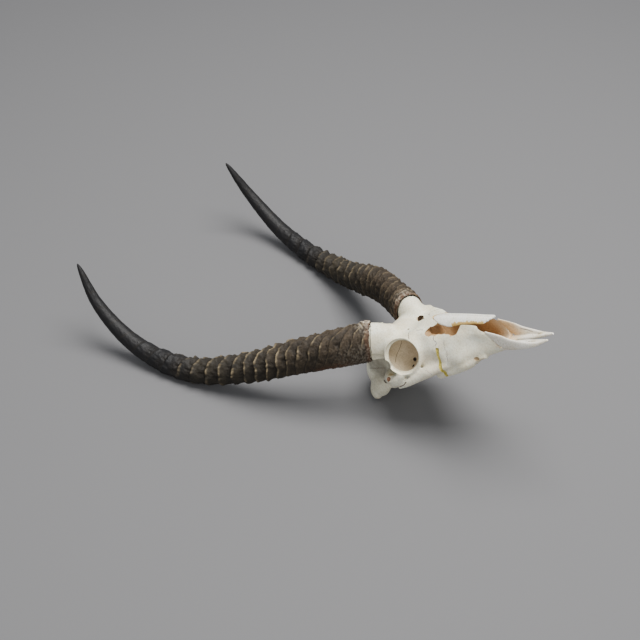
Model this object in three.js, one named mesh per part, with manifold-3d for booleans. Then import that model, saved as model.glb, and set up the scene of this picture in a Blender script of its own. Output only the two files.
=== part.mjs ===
// Skull of an antelope with both horns, upper half only (no lower jaw), lying as it rests on a table:
// the back of the skull and the undersides of the horns touch the table and the snout points up.
// Millimetres. +X points to the snout side, +Y to the animal's left and +Z up; the origin is on the
// table, under the middle of the whole object.
import * as THREE from "three";
import { ParametricGeometry } from "three/addons/geometries/ParametricGeometry.js";
import { mergeVertices } from "three/addons/utils/BufferGeometryUtils.js";
import Module from "manifold-3d";

// How the skull stands: the tips of the premaxillae, and how far the snout is tipped up from level.
const SNOUT_X = 304.3;
const SNOUT_Z = 198;
const SKULL_PITCH = THREE.MathUtils.degToRad(44);

// The left horn: the middle of its base, and how its axis runs on from there to the tip.
const HORN_BASE = new THREE.Vector3(90.1, 40, 104.4);
const HORN_RUN = [
  [0, 0, 0],
  [-67, 45.3, -27.2],
  [-139, 78.8, -64.8],
  [-215, 105, -88.5],
  [-292, 116.6, -80],
  [-354.5, 118.4, -42],
  [-394.5, 110.7, 5.3],
];
const HORN_RADIUS = 22.2; // mean of the oval at the base
const HORN_TAPER = 0.5; // power by which the radius runs out to the tip
const BASE_FLATNESS = 0.71; // width over depth of the oval at the base
const ROUND_FROM = 0.75; // share of the length past which the horn is round
const HORN_THIN_WAY = new THREE.Vector3(-0.853, -0.402, -0.333); // the oval is thinnest along this

// Growth rings: 17 swellings, further apart towards the tip, and none on the last third.
const RING_COUNT = 17;
const RING_PITCH = 12.9;
const RING_PITCH_GROWTH = 0.58;
const RING_HEIGHT = 1.1;
const ROWS_PER_RING = 2; // one row of points on each crest and one in each valley

// Bone inside the horn: the core's length, and the thickness of the horn around it.
const CORE_LENGTH = 225;
const HORN_WALL = 4.2;
const CORE_GAP = 0.8;

// The horn's rim lies aslant: it reaches further towards the skull on the upper side. The left horn
// covers more of its stump than the right one, whose edge has broken away.
const RIM_SLOPE = 0.206;
const RIM_LEFT = -12;
const RIM_RIGHT = -1;
const RIM_BLEND = 60; // length over which the slant dies out
const PEDICLE_LENGTH = 42;
const PEDICLE_DROOP = 15; // how far the stump bends down into the forehead
const PEDICLE_STEP = 1.6; // how far the bone stays inside the horn's rim
const PEDICLE_ROOT = 0.85; // size at the root over size at the rim
const SEAM = 0.4; // open seam between bones that were never fused

// Rows of points along the horn's tip and around and along the shapes that go with a horn.
const TIP_ROWS = 10;
const AROUND_HORN = 12;
const AROUND_CORE = 10;
const CORE_ROWS = 8;
const ROOM_ROWS = 7;
const PEDICLE_ROWS = 6;

// Eye socket, on the left side in the skull's own frame.
const ORBIT_CENTRE = new THREE.Vector3(-176.6, 46, 52.4);
const ORBIT_OUT = new THREE.Vector3(0.37, 0.9, 0.2).normalize();
const ORBIT_RADIUS = 21.5;
const ORBIT_RIM = 3.2;
const ORBIT_DEPTH = 14; // from the opening to the middle of the round socket
const ORBIT_WALL = 3.2;

// The roof of the snout falls off towards its sides, and the nasals are arched across. The arch
// grows over a length in front of the eyes, and over a depth below the roof.
const ROOF_ARCH_RADIUS = 12.5;
const ROOF_ARCH_HALF = 15.5;
const ARCH_BACK = -162;
const ARCH_LENGTH = 34;
const ARCH_LOW = 30;
const ARCH_DEPTH = 22;
const NASAL_ARCH_RADIUS = 8;

// The premaxillae draw together in front of their last bend.
const PREMAXILLA_APART = 14.2;
const PREMAXILLA_DRAW = 7.6;
const PREMAXILLA_BEND = 46;

const BONE = { color: 0xe6e0d0, roughness: 0.6, metalness: 0 };
const NASAL_BONE = { color: 0xe3ded2, roughness: 0.55, metalness: 0 };
const FRONT_BONE = { color: 0xddd3c2, roughness: 0.55, metalness: 0 };
const HORN = { color: 0x3c3025, roughness: 0.5, metalness: 0 };

const wasm = await Module();
wasm.setup();

// ---------------------------------------------------------------- solids and meshes

// A closed geometry as a solid: its corners are welded and the flat triangles at poles dropped.
function solid(geometry) {
  const bare = geometry.clone();
  bare.deleteAttribute("normal");
  bare.deleteAttribute("uv");
  const welded = mergeVertices(bare, 1e-3);
  const corners = welded.index.array;
  const kept = [];
  for (let i = 0; i < corners.length; i += 3) {
    const [a, b, c] = corners.slice(i, i + 3);
    if (a !== b && b !== c && c !== a) kept.push(a, b, c);
  }
  const vertProperties = welded.attributes.position.array;
  return new wasm.Manifold(
    new wasm.Mesh({ numProp: 3, vertProperties, triVerts: new Uint32Array(kept) }),
  );
}

// The same geometry on the other side of the skull, still facing outwards.
function mirrored(geometry) {
  const other = mergeVertices(geometry.clone().scale(1, -1, 1), 1e-4);
  const corners = other.index.array;
  for (let i = 0; i < corners.length; i += 3) {
    [corners[i + 1], corners[i + 2]] = [corners[i + 2], corners[i + 1]];
  }
  return other;
}

function bothSides(geometry) {
  return solid(geometry).add(solid(mirrored(geometry)));
}

function joined(solids) {
  return solids.reduce((whole, piece) => whole.add(piece));
}

// A named mesh of one solid.
function part(name, shape, look) {
  const { numProp, numVert, vertProperties, triVerts } = shape.getMesh();
  const positions = new Float32Array(numVert * 3);
  for (let i = 0; i < numVert; i++) {
    positions.set(vertProperties.subarray(i * numProp, i * numProp + 3), i * 3);
  }
  const geometry = new THREE.BufferGeometry();
  geometry.setAttribute("position", new THREE.BufferAttribute(positions, 3));
  geometry.setIndex(new THREE.BufferAttribute(triVerts, 1));
  geometry.computeVertexNormals();
  const mesh = new THREE.Mesh(geometry, new THREE.MeshStandardMaterial(look));
  mesh.name = name;
  return mesh;
}

// ---------------------------------------------------------------- shapes that bones are made of

// An egg shape: centre, the three radii, and turns about Y (pitch) and Z (yaw).
function egg(centre, radii, pitch = 0, yaw = 0, around = 11, along = 7) {
  return new THREE.SphereGeometry(1, around, along)
    .scale(...radii)
    .rotateY(pitch)
    .rotateZ(yaw)
    .translate(...centre);
}

// A bar of round section along a smooth line, thinner or thicker on its way, with blunt ends.
function bar(points, radii, around = 7, along = 6) {
  const line = new THREE.CatmullRomCurve3(points.map((p) => new THREE.Vector3(...p)));
  const sizes = new THREE.SplineCurve(radii.map((r, i) => new THREE.Vector2(i, r)));
  return new ParametricGeometry((u, v, target) => {
    const row = Math.round(v * along);
    const t = THREE.MathUtils.clamp((row - 1) / (along - 2), 0, 1);
    const closed = row === 0 || row === along ? 0 : 1;
    const tangent = line.getTangent(t);
    const side = new THREE.Vector3(0.1, 0.2, 1).cross(tangent).normalize();
    const up = new THREE.Vector3().crossVectors(tangent, side);
    const angle = 2 * Math.PI * (u % 1);
    const radius = closed * sizes.getPoint(t).y;
    target.copy(line.getPoint(t));
    target.addScaledVector(side, radius * Math.cos(angle));
    target.addScaledVector(up, radius * Math.sin(angle));
  }, around, along);
}

// A body built up from slices across the skull, from back to front. Each slice gives x, half the
// width low down and high up, and the heights of its bottom and top; the ends close to a point.
function slices(rows, squareness, around, along) {
  const spline = (a, b) => new THREE.SplineCurve(rows.map((row) => new THREE.Vector2(row[a], row[b])));
  const widths = spline(1, 2);
  const heights = spline(3, 4);
  const places = spline(0, 0);
  const power = 2 / squareness;
  const rounded = (value) => Math.sign(value) * Math.abs(value) ** power;
  return new ParametricGeometry((u, v, target) => {
    const angle = 2 * Math.PI * (u % 1);
    const end = v === 0 || v === 1 ? 0 : 1;
    const { x: lowHalf, y: highHalf } = widths.getPoint(v);
    const { x: low, y: high } = heights.getPoint(v);
    const rise = (1 + rounded(Math.sin(angle))) / 2;
    const half = THREE.MathUtils.lerp(lowHalf, highHalf, rise);
    const height = THREE.MathUtils.lerp(low, high, end ? rise : 0.5);
    target.set(places.getPoint(v).x, end * half * rounded(Math.cos(angle)), height);
  }, around, along);
}

// ---------------------------------------------------------------- the horn and what is inside it

const hornAxis = new THREE.CatmullRomCurve3(
  HORN_RUN.map((step) => HORN_BASE.clone().add(new THREE.Vector3(...step))),
  false,
  "centripetal",
);
const hornLength = hornAxis.getLength();
const ringsEnd = RING_PITCH * RING_COUNT + (RING_PITCH_GROWTH * RING_COUNT ** 2) / 2;

// A point of an oval around the horn's axis, s millimetres from its base (below 0: in the skull),
// inset from the horn's own surface and scaled by shrink. At a quarter turn it is the upper side.
function hornPoint(s, angle, inset, shrink, target) {
  const t = THREE.MathUtils.clamp(s / hornLength, 0, 1);
  const tangent = hornAxis.getTangentAt(t);
  const short = HORN_THIN_WAY.clone().projectOnPlane(tangent).normalize();
  const long = new THREE.Vector3().crossVectors(tangent, short);
  const flat = Math.sqrt(THREE.MathUtils.lerp(BASE_FLATNESS, 1, Math.min(1, t / ROUND_FROM)));
  const radius = HORN_RADIUS * (1 - t) ** HORN_TAPER;
  target.copy(hornAxis.getPointAt(t)).addScaledVector(tangent, Math.min(0, s));
  target.addScaledVector(short, shrink * (radius * flat - inset) * Math.cos(angle));
  target.addScaledVector(long, shrink * (radius / flat - inset) * Math.sin(angle));
}

// Where the slanting plane of the horn's rim lies along the axis, on the side that angle gives: for a
// surface that is inset from the horn's own, or for the axis itself where open is 0.
function rimPlace(rim, angle, inset, open) {
  const depth = HORN_RADIUS / Math.sqrt(BASE_FLATNESS) - inset;
  return rim - open * RIM_SLOPE * depth * Math.sin(angle);
}

// The horn's outside: rows of points follow the growth rings, and then run out to the tip.
function hornSkin(rim) {
  const rows = RING_COUNT * ROWS_PER_RING + TIP_ROWS;
  return new ParametricGeometry((u, v, target) => {
    const row = Math.round(v * rows);
    const ring = Math.min(Math.max(0, row - 1) / ROWS_PER_RING, RING_COUNT);
    const tipShare = Math.max(0, row - 1 - RING_COUNT * ROWS_PER_RING) / (TIP_ROWS - 1);
    const ringed = RING_PITCH * ring + (RING_PITCH_GROWTH * ring ** 2) / 2;
    const angle = 2 * Math.PI * (u % 1);
    const open = row === 0 ? 0 : 1;
    const slant = rimPlace(rim, angle, -RING_HEIGHT, open) * Math.max(0, 1 - ringed / RIM_BLEND);
    const s = THREE.MathUtils.lerp(ringed, hornLength, tipShare) + slant;
    const fade = 1 - THREE.MathUtils.smoothstep(s, 0.8 * ringsEnd, ringsEnd);
    const swelling = RING_HEIGHT * fade * Math.cos(2 * Math.PI * ring);
    hornPoint(s, angle, -swelling, open, target);
  }, AROUND_HORN, rows);
}

// The bony core, or with a larger grow the hollow around it: an oval cone that closes at its end.
function coreSkin(start, grow) {
  const length = CORE_LENGTH + 3 * grow;
  return new ParametricGeometry((u, v, target) => {
    const row = Math.round(v * CORE_ROWS);
    const share = Math.max(0, (row - 1) / (CORE_ROWS - 1));
    const s = THREE.MathUtils.lerp(start, length, share);
    const shrink = row === 0 ? 0 : Math.max(0, 1 - Math.max(0, s) / length) ** 0.6;
    hornPoint(s, 2 * Math.PI * (u % 1), HORN_WALL + CORE_GAP - grow, shrink, target);
  }, AROUND_CORE, CORE_ROWS);
}

// The room that the horn takes up beside its stump, kept clear of all other bone.
function hornRoom(rim) {
  return new ParametricGeometry((u, v, target) => {
    const row = Math.round(v * ROOM_ROWS);
    const share = THREE.MathUtils.clamp((row - 1) / (ROOM_ROWS - 2), 0, 1);
    const open = row === 0 || row === ROOM_ROWS ? 0 : 1;
    const angle = 2 * Math.PI * (u % 1);
    const inset = -RING_HEIGHT - 3 * SEAM;
    const s = THREE.MathUtils.lerp(rimPlace(rim, angle, inset, open) - SEAM, RIM_BLEND, share);
    hornPoint(s, angle, inset, open, target);
  }, AROUND_HORN, ROOM_ROWS);
}

// The stump of bone that the horn sits on, bending down into the forehead at its root.
function pedicleSkin(rim) {
  const down = new THREE.Vector3(Math.sin(SKULL_PITCH), 0, -Math.cos(SKULL_PITCH));
  return new ParametricGeometry((u, v, target) => {
    const row = Math.round(v * PEDICLE_ROWS);
    const share = THREE.MathUtils.clamp((row - 1) / (PEDICLE_ROWS - 2), 0, 1);
    const angle = 2 * Math.PI * (u % 1);
    const open = row === 0 || row === PEDICLE_ROWS ? 0 : 1;
    const end = rimPlace(rim, angle, PEDICLE_STEP, open) - SEAM;
    const s = THREE.MathUtils.lerp(-PEDICLE_LENGTH, end, share);
    hornPoint(s, angle, PEDICLE_STEP, open * THREE.MathUtils.lerp(PEDICLE_ROOT, 1, share), target);
    target.addScaledVector(down, PEDICLE_DROOP * (1 - share) ** 2);
  }, AROUND_HORN, PEDICLE_ROWS);
}

// ---------------------------------------------------------------- the skull, in its own frame

// The skull's own frame: x runs forward along the palate, z is up from it, and the origin is
// between the tips of the premaxillae.
const skull = new THREE.Group();
skull.position.set(SNOUT_X, 0, SNOUT_Z);
skull.rotation.y = -SKULL_PITCH;
skull.updateMatrixWorld(true);
const intoSkull = skull.matrixWorld.clone().invert();

// Face, forehead and the roof between the horns, as one body.
function headSkin() {
  const head = slices(
    [
      [-256, 18, 18, 40, 54],
      [-240, 28, 23, 30, 66],
      [-218, 33, 29, 28, 79],
      [-204, 34, 37, 26, 82],
      [-192, 34, 41, 22, 80],
      [-176, 36, 40, 18, 75],
      [-160, 40, 34, 13, 72],
      [-140, 40, 28, 8, 71],
      [-120, 35, 23, 5, 67.5],
      [-100, 28, 19.5, 5, 61],
      [-82, 22, 18, 5, 54],
      [-66, 16.4, 16.6, 4, 46],
      [-59.5, 15.6, 16, 5, 40],
    ],
    3.8,
    18,
    15,
  );
  const corners = head.attributes.position;
  for (let i = 0; i < corners.count; i++) {
    const roof = THREE.MathUtils.clamp((corners.getZ(i) - ARCH_LOW) / ARCH_DEPTH, 0, 1);
    const front = THREE.MathUtils.clamp((corners.getX(i) - ARCH_BACK) / ARCH_LENGTH, 0, 1);
    const across = Math.min(Math.abs(corners.getY(i)), ROOF_ARCH_HALF);
    const fall = across ** 2 / (2 * ROOF_ARCH_RADIUS);
    corners.setZ(i, corners.getZ(i) - roof * front * fall);
  }
  return head;
}

// The nose, hollow from its open front to between the eyes.
function noseHollow() {
  return slices(
    [
      [-150, 10, 12, 34, 60],
      [-144, 16, 17, 24, 63],
      [-128, 21, 17, 14, 61],
      [-112, 20, 16, 13, 56],
      [-100, 18, 14.4, 12, 51],
      [-82, 16, 13.5, 12, 44],
      [-66, 13.6, 13.4, 12, 60],
      [-44, 12, 13, 15, 75],
      [-36, 10, 12, 20, 70],
    ],
    4,
    12,
    9,
  );
}

// The open slot in the roof of the nose that the nasals lie in, wider in front where a gap stays
// beside them.
function nasalSlot() {
  return slices(
    [
      [-143, 1.6, 1.6, 40, 90],
      [-138, 6.4, 6.4, 40, 90],
      [-128, 11.4, 11.4, 40, 90],
      [-112, 12.4, 12.4, 38, 90],
      [-100, 12.2, 12.2, 36, 90],
      [-82, 11.6, 11.6, 30, 90],
      [-64, 12.2, 12.2, 26, 90],
      [-54, 13, 13, 20, 90],
      [-40, 13, 13, 20, 90],
    ],
    8,
    8,
    10,
  );
}

// The open vacuity between nasal, tear bone and cheek, cut through the wall from side to middle.
function vacuity() {
  const outline = [
    [-147.5, 62.9],
    [-141.6, 65.5],
    [-131, 65],
    [-121, 69],
    [-109.2, 66],
    [-98.7, 60],
    [-97.5, 54.5],
    [-101.7, 49.5],
    [-107.9, 46.3],
    [-116.2, 50.1],
    [-128.8, 54.5],
    [-141.4, 57],
  ];
  const shape = new THREE.Shape(outline.map(([x, z]) => new THREE.Vector2(x, z)));
  const prism = new THREE.ExtrudeGeometry(shape, { depth: 20, bevelEnabled: false });
  return prism.rotateX(Math.PI / 2).translate(0, 30, 0);
}

// Eye socket: bone rim and cup outside, and the hollow that goes into it.
function orbitRim() {
  const ring = new THREE.TorusGeometry(ORBIT_RADIUS + 0.4 * ORBIT_RIM, ORBIT_RIM, 5, 15);
  ring.applyQuaternion(new THREE.Quaternion().setFromUnitVectors(new THREE.Vector3(0, 0, 1), ORBIT_OUT));
  return ring.translate(...ORBIT_CENTRE.clone().addScaledVector(ORBIT_OUT, -ORBIT_RIM));
}

function orbitBall(radius, depth) {
  return egg(ORBIT_CENTRE.clone().addScaledVector(ORBIT_OUT, -depth), [radius, radius, radius], 0, 0, 12, 8);
}

function orbitMouth() {
  const cone = new THREE.CylinderGeometry(ORBIT_RADIUS + 3, ORBIT_RADIUS - 0.6, 16, 15);
  cone.applyQuaternion(new THREE.Quaternion().setFromUnitVectors(new THREE.Vector3(0, 1, 0), ORBIT_OUT));
  return cone.translate(...ORBIT_CENTRE.clone().addScaledVector(ORBIT_OUT, 3));
}

const JUGAL = [[-132, 29, 18], [-160, 41, 20.5], [-190, 50.5, 19], [-212, 48.5, 15.5]];
const CHEEK_ARCH = [[-234, 30, 30], [-222, 43, 28], [-204, 51.5, 27], [-188, 51.5, 32]];

function cranium() {
  const onHorns = (shape) =>
    solid(shape(RIM_LEFT).applyMatrix4(intoSkull)).add(
      solid(mirrored(shape(RIM_RIGHT).applyMatrix4(intoSkull))),
    );
  const bone = joined([
    solid(headSkin()),
    solid(egg([-244, 0, 42], [42, 32, 30], -0.3)), // braincase
    solid(egg([-275, 0, 33], [13, 27, 25], 0.25)), // occiput
    solid(bar([[-292, 0, 16], [-262, 0, 14], [-215, 0, 22], [-170, 0, 30]], [8, 10, 9, 8])), // base
    bothSides(orbitRim()),
    bothSides(orbitBall(ORBIT_RADIUS + ORBIT_WALL, ORBIT_DEPTH)),
    bothSides(bar(JUGAL, [6, 7.5, 4.8, 2.2])),
    bothSides(bar(CHEEK_ARCH, [7, 7, 6.5, 5])),
    bothSides(bar([[-224, 36, 32], [-233, 37, 27], [-242, 33, 26]], [5.5, 6.5, 5])), // ear tube
    bothSides(egg([-268, 26, 17], [19, 8, 13], -0.35)), // mastoid
    bothSides(bar([[-268, 22.5, 26], [-281, 26.5, 12], [-285.5, 27, 2.2]], [9, 8, 5.5])), // paroccipital
    bothSides(egg([-290, 11, 15], [8, 8, 10], 0, 0, 8, 6)), // condyle
    bothSides(egg([-248, 19, 15], [12, 8, 9], 0, 0, 8, 6)), // bulla
    bothSides(bar([[-146, 15, 12], [-182, 15, 16], [-212, 11, 24]], [5, 5, 5])), // pterygoid
    bothSides(bar([[-84, 17, 8.5], [-120, 25, 8], [-158, 30, 9]], [5, 7.5, 6])), // alveolar ridge
  ]);
  const hollow = joined([
    solid(noseHollow()),
    solid(nasalSlot()),
    bothSides(vacuity()),
    bothSides(orbitBall(ORBIT_RADIUS, ORBIT_DEPTH)),
    bothSides(orbitMouth()),
    bothSides(egg([-212, 63, 50], [17, 24, 22], 0, -0.25)), // temple
    solid(egg([-241, 0, 45], [30, 25, 23], -0.3, 0, 10, 7)), // room of the brain
    solid(bar([[-305, 0, 26], [-290, 0, 27], [-255, 0, 34]], [11, 10, 9])), // way to the spine
    solid(egg([-118, 0, -6], [58, 15, 15], 0.04)), // palate
    solid(bar([[-212, 0, 2], [-182, 0, 12], [-138, 0, 27]], [8, 8, 8])), // throat
    bothSides(bar([[-240, 44, 26.5], [-226, 34, 27]], [2.4, 2.2], 8, 3)), // ear hole
    bothSides(bar([[-178, 12.8, 80], [-176.5, 12.7, 64]], [2.6, 2.4], 8, 3)), // foramen over the eye
    bothSides(bar([[-90, 34, 13], [-96, 22, 13]], [3, 2.6], 8, 3)), // foramen of the cheek
  ]);
  const hornBone = onHorns(pedicleSkin).add(onHorns(() => coreSkin(-PEDICLE_LENGTH / 2, 0)));
  return bone.subtract(onHorns(hornRoom)).add(hornBone).subtract(hollow);
}

// The nasals: a thin arched plate over the nose, narrow at the back and widest above the vacuity,
// parted along the midline. Each nasal is one side of it.
function nasals() {
  const plate = slices(
    [
      [-141, 1.4, 1.4, 68.6, 70.6],
      [-130, 10.2, 10.2, 66.6, 69.8],
      [-120, 11.6, 11.6, 64, 67],
      [-112, 11.4, 11.4, 61.2, 64.3],
      [-100, 10.4, 10.4, 57.4, 60.4],
      [-82, 9.3, 9.3, 51.4, 54.2],
      [-70, 9.1, 9.1, 47.6, 49.8],
      [-61, 7, 7, 45.2, 46.6],
    ],
    4,
    16,
    10,
  );
  const corners = plate.attributes.position;
  for (let i = 0; i < corners.count; i++) {
    const fall = corners.getY(i) ** 2 / (2 * NASAL_ARCH_RADIUS);
    corners.setZ(i, corners.getZ(i) - fall);
  }
  return solid(plate);
}

const leftOfMidline = new THREE.BoxGeometry(200, 40, 60).translate(-100, 20 + SEAM / 2, 50);

// A premaxilla: a blade from the side of the nose to the front of the mouth, with a plate towards the
// midline behind and a thin shelf in front. onSide keeps them on the left or mirrors them.
function premaxilla(onSide) {
  const blade = slices(
    [
      [-59, 1.5, 1.4, 12, 36.5],
      [-50, 1.7, 1.6, 5, 25.5],
      [-42, 1.9, 1.7, 3, 18],
      [-31, 2.2, 1.9, 0.5, 11.5],
      [-15, 2.5, 2.2, -1.8, 4],
      [0, 1.4, 1.4, -1.4, 1],
    ],
    2.6,
    8,
    6,
  );
  const corners = blade.attributes.position;
  for (let i = 0; i < corners.count; i++) {
    const past = Math.max(0, 1 + corners.getX(i) / PREMAXILLA_BEND);
    corners.setY(i, corners.getY(i) + PREMAXILLA_APART - PREMAXILLA_DRAW * past ** 2);
  }
  const shelf = bar([[-48, 3.6, 8], [-32, 4, 5], [-16, 6.2, 2], [-4, 7.4, 0.2]], [2.2, 2.4, 2.4, 2]);
  const plate = slices(
    [
      [-57.5, 6.6, 6.6, 5.6, 10.4],
      [-50, 6.6, 6.6, 4.4, 9],
      [-38, 6, 6, 3, 7.4],
      [-29, 4.6, 4.6, 2.4, 5.6],
      [-24, 2.6, 2.6, 2.2, 4.4],
    ],
    3,
    10,
    5,
  ).translate(0, 7.8, 0);
  return joined([blade, shelf, plate].map((shape) => solid(onSide(shape))));
}

// ---------------------------------------------------------------- the whole object

// Everything under the table's top is worn away, so that the object stands on small flat spots.
const underTable = new THREE.BoxGeometry(900, 600, 50).translate(0, 0, -25);
const underTableInSkull = solid(underTable.clone().applyMatrix4(intoSkull));

const hollowAroundCore = coreSkin(-PEDICLE_LENGTH / 2, CORE_GAP);
const leftSheath = solid(hornSkin(RIM_LEFT)).subtract(solid(hollowAroundCore));
const rightSheath = solid(mirrored(hornSkin(RIM_RIGHT))).subtract(solid(mirrored(hollowAroundCore)));

skull.add(
  part("cranium", cranium().subtract(underTableInSkull), BONE),
  part("nasal_left", nasals().intersect(solid(leftOfMidline)), NASAL_BONE),
  part("nasal_right", nasals().intersect(solid(mirrored(leftOfMidline))), NASAL_BONE),
  part("premaxilla_left", premaxilla((shape) => shape), FRONT_BONE),
  part("premaxilla_right", premaxilla(mirrored), FRONT_BONE),
);

const object = new THREE.Group();
object.add(
  skull,
  part("horn_sheath_left", leftSheath.subtract(solid(underTable)), HORN),
  part("horn_sheath_right", rightSheath.subtract(solid(underTable)), HORN),
);

export default object;
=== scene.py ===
import math

import bmesh
import bpy
import numpy as np
from mathutils import Matrix, Vector, noise
from mathutils.bvhtree import BVHTree


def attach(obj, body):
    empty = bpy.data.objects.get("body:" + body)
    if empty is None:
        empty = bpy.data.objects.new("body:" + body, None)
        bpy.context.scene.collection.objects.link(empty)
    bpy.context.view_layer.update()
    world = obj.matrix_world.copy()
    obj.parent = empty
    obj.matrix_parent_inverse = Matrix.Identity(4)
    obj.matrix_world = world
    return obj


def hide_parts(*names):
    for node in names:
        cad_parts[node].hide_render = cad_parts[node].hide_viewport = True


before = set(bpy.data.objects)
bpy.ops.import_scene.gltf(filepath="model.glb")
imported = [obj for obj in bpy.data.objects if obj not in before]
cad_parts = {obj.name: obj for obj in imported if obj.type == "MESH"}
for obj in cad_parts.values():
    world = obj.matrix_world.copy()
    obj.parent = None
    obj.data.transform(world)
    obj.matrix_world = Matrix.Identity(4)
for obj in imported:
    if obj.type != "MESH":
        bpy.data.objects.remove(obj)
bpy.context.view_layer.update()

# ------------------------------------------------------------------ cranium
# The bony head from the back of the skull to the cheeks, grown together into one bone, with the eye
# sockets, the hollow nose and the stumps and cores of the horns. It is bleached white by the sun,
# tan where soft tissue held on longest, with open seams, empty tooth sockets and one glued crack.
# Shade is painted into the hollows of the temples and cheeks and into the walls of the holes.

# Bones are shaped in the skull's own frame: millimetres from the tip of the snout, x forwards, z up
# from the palate. The skull lies with its snout tipped up.
MM = 0.001
SNOUT_TIP = (0.3043, 0, 0.198)
SKULL_TILT = math.radians(44)
SKULL_TO_WORLD = (
    Matrix.Translation(SNOUT_TIP) @ Matrix.Rotation(-SKULL_TILT, 4, "Y") @ Matrix.Scale(MM, 4)
)
BONE_VOXEL = 1.35
SKIN_SMOOTHINGS = 14
BROW_SMOOTHINGS = 60
CREASE = math.radians(40)


def deselect_all():
    if bpy.context.mode != "OBJECT":
        bpy.ops.object.mode_set(mode="OBJECT")
    bpy.ops.object.select_all(action="DESELECT")


def select_only(piece):
    deselect_all()
    piece.select_set(True)
    bpy.context.view_layer.objects.active = piece


def apply_modifier(piece, kind, **settings):
    select_only(piece)
    bpy.ops.object.modifier_add(type=kind)
    modifier = piece.modifiers[-1]
    for key, value in settings.items():
        setattr(modifier, key, value)
    bpy.ops.object.modifier_apply(modifier=modifier.name)


def join(pieces):
    deselect_all()
    for piece in pieces:
        piece.select_set(True)
    bpy.context.view_layer.objects.active = pieces[0]
    bpy.ops.object.join()
    return bpy.context.object


def bone_egg(place, radii, pitch=0.0, yaw=0.0):
    deselect_all()
    bpy.ops.mesh.primitive_uv_sphere_add(segments=40, ring_count=24, radius=1)
    egg = bpy.context.object
    turn = Matrix.Rotation(yaw, 4, "Z") @ Matrix.Rotation(pitch, 4, "Y")
    egg.data.transform(Matrix.Translation(place) @ turn @ Matrix.Diagonal((*radii, 1)))
    return egg


def bone_bar(points, radii, around=5, steps=10):
    curve = bpy.data.curves.new("bar", "CURVE")
    curve.dimensions = "3D"
    curve.bevel_depth = 1.0
    curve.bevel_resolution = around
    curve.resolution_u = steps
    curve.use_fill_caps = True
    spline = curve.splines.new("BEZIER")
    spline.bezier_points.add(len(points) - 1)
    for knot, point, radius in zip(spline.bezier_points, points, radii):
        knot.co = point
        knot.radius = radius
        knot.handle_left_type = "AUTO"
        knot.handle_right_type = "AUTO"
    bar = bpy.data.objects.new("bar", curve)
    bpy.context.collection.objects.link(bar)
    select_only(bar)
    bpy.ops.object.convert(target="MESH")
    return bpy.context.object


def between_rows(rows, steps):
    table = np.array(rows, float)
    padded = np.vstack([2 * table[0] - table[1], table, 2 * table[-1] - table[-2]])
    out = []
    for i in range(len(table) - 1):
        before, a, b, after = padded[i : i + 4]
        for share in np.arange(steps) / steps:
            out.append(
                0.5
                * (
                    2 * a
                    + (b - before) * share
                    + (2 * before - 5 * a + 4 * b - after) * share**2
                    + (3 * a - before - 3 * b + after) * share**3
                )
            )
    out.append(table[-1])
    return np.array(out)


# A closed skin over rings of points. Its ends are flat, or a fan of faces around a middle point.
def ring_skin(name, rings, fans=False):
    body = bmesh.new()
    verts = [[body.verts.new(point) for point in ring] for ring in rings]
    around = len(verts[0])
    for ring, following in zip(verts, verts[1:]):
        for k in range(around):
            n = (k + 1) % around
            body.faces.new((ring[k], ring[n], following[n], following[k]))
    for end in (0, -1):
        if fans:
            middle = body.verts.new(Vector(rings[end].mean(0)))
            for k in range(around):
                body.faces.new((verts[end][k], verts[end][(k + 1) % around], middle))
        else:
            body.faces.new(verts[end])
    bmesh.ops.recalc_face_normals(body, faces=body.faces)
    bmesh.ops.triangulate(body, faces=[f for f in body.faces if len(f.verts) > 4])
    mesh = bpy.data.meshes.new(name)
    body.to_mesh(mesh)
    body.free()
    skin = bpy.data.objects.new(name, mesh)
    bpy.context.collection.objects.link(skin)
    return skin


# A closed body through slices across the skull: x, half widths low and high, bottom and top.
def bone_loft(rows, squareness, around=48, steps=6):
    fine = between_rows(rows, steps)
    angle = np.linspace(0, 2 * math.pi, around, endpoint=False)
    round_y = np.sign(np.cos(angle)) * np.abs(np.cos(angle)) ** (2 / squareness)
    round_z = np.sign(np.sin(angle)) * np.abs(np.sin(angle)) ** (2 / squareness)
    rise = (1 + round_z) / 2
    rings = []
    for x, low_half, high_half, low, high in fine:
        half = low_half + (high_half - low_half) * rise
        rings.append([(x, y, z) for y, z in zip(half * round_y, low + (high - low) * rise)])
    return ring_skin("loft", rings)


def on_both_sides(piece):
    apply_modifier(piece, "MIRROR", use_axis=(False, True, False), use_mirror_merge=False)
    return piece


HEAD_SLICES = [
    (-256, 18, 18, 40, 54),
    (-240, 28, 23, 30, 66),
    (-218, 33, 29, 28, 79),
    (-204, 34, 37, 26, 82),
    (-192, 34, 41, 22, 80),
    (-176, 36, 40, 18, 75),
    (-160, 40, 34, 13, 72),
    (-140, 40, 28, 8, 71),
    (-120, 35, 23, 5, 67.5),
    (-100, 28, 19.5, 5, 61),
    (-82, 22, 18, 5, 54),
    (-66, 16.4, 16.6, 4, 46),
    (-59.5, 15.6, 16, 5, 40),
]
ORBIT_CENTRE = Vector((-176.6, 46, 52.4))
ORBIT_OUT = Vector((0.37, 0.9, 0.2)).normalized()
ORBIT_RADIUS = 21.5
ORBIT_DEPTH = 14
ORBIT_RIM = 2.9
ORBIT_WALL = 3.2


def orbit_rim():
    deselect_all()
    bpy.ops.mesh.primitive_torus_add(
        major_radius=ORBIT_RADIUS + 1.2, minor_radius=ORBIT_RIM, major_segments=60, minor_segments=16
    )
    rim = bpy.context.object
    turn = ORBIT_OUT.to_track_quat("Z", "Y").to_matrix().to_4x4()
    lie_back = Matrix.Rotation(-0.06, 4, "Y")
    rim.data.transform(Matrix.Translation(ORBIT_CENTRE - 3.4 * ORBIT_OUT) @ lie_back @ turn)
    return rim


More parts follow.
